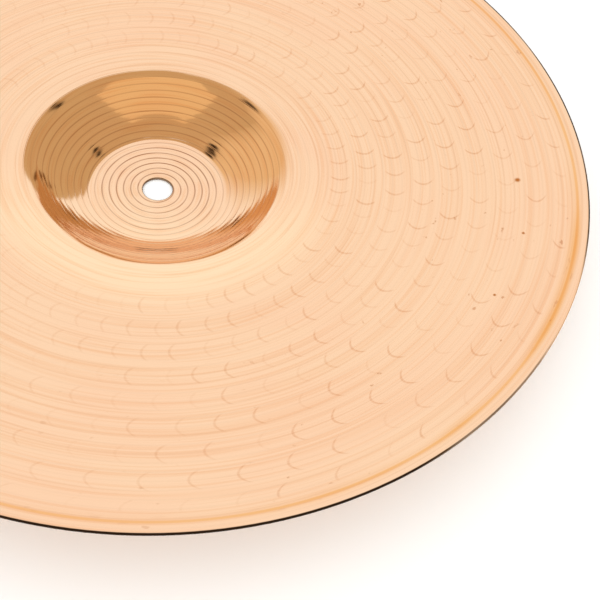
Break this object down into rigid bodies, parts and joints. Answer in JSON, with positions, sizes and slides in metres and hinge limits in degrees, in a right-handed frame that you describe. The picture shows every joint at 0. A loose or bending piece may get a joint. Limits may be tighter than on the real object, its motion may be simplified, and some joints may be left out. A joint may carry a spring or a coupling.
{
  "type": "crash cymbal",
  "caption": "Crash cymbal: a thin round sheet of bronze with a raised bell, a centre hole for a stand, a gently curved bow and a rounded edge.",
  "frame": {"origin": "centre of the crown's outer face, the lowest point when the cymbal lies on its bell", "axes": "+Z along the cymbal's axis, from the bell towards the open concave side; X and Y are free, as the cymbal is round"},
  "size_m": [0.3556, 0.3556, 0.0346],
  "materials": {
    "bronze": "lathed and hammered cymbal bronze, bright"
  },
  "bodies": {
    "root": {"cymbal": "bronze"}
  },
  "joints": []
}
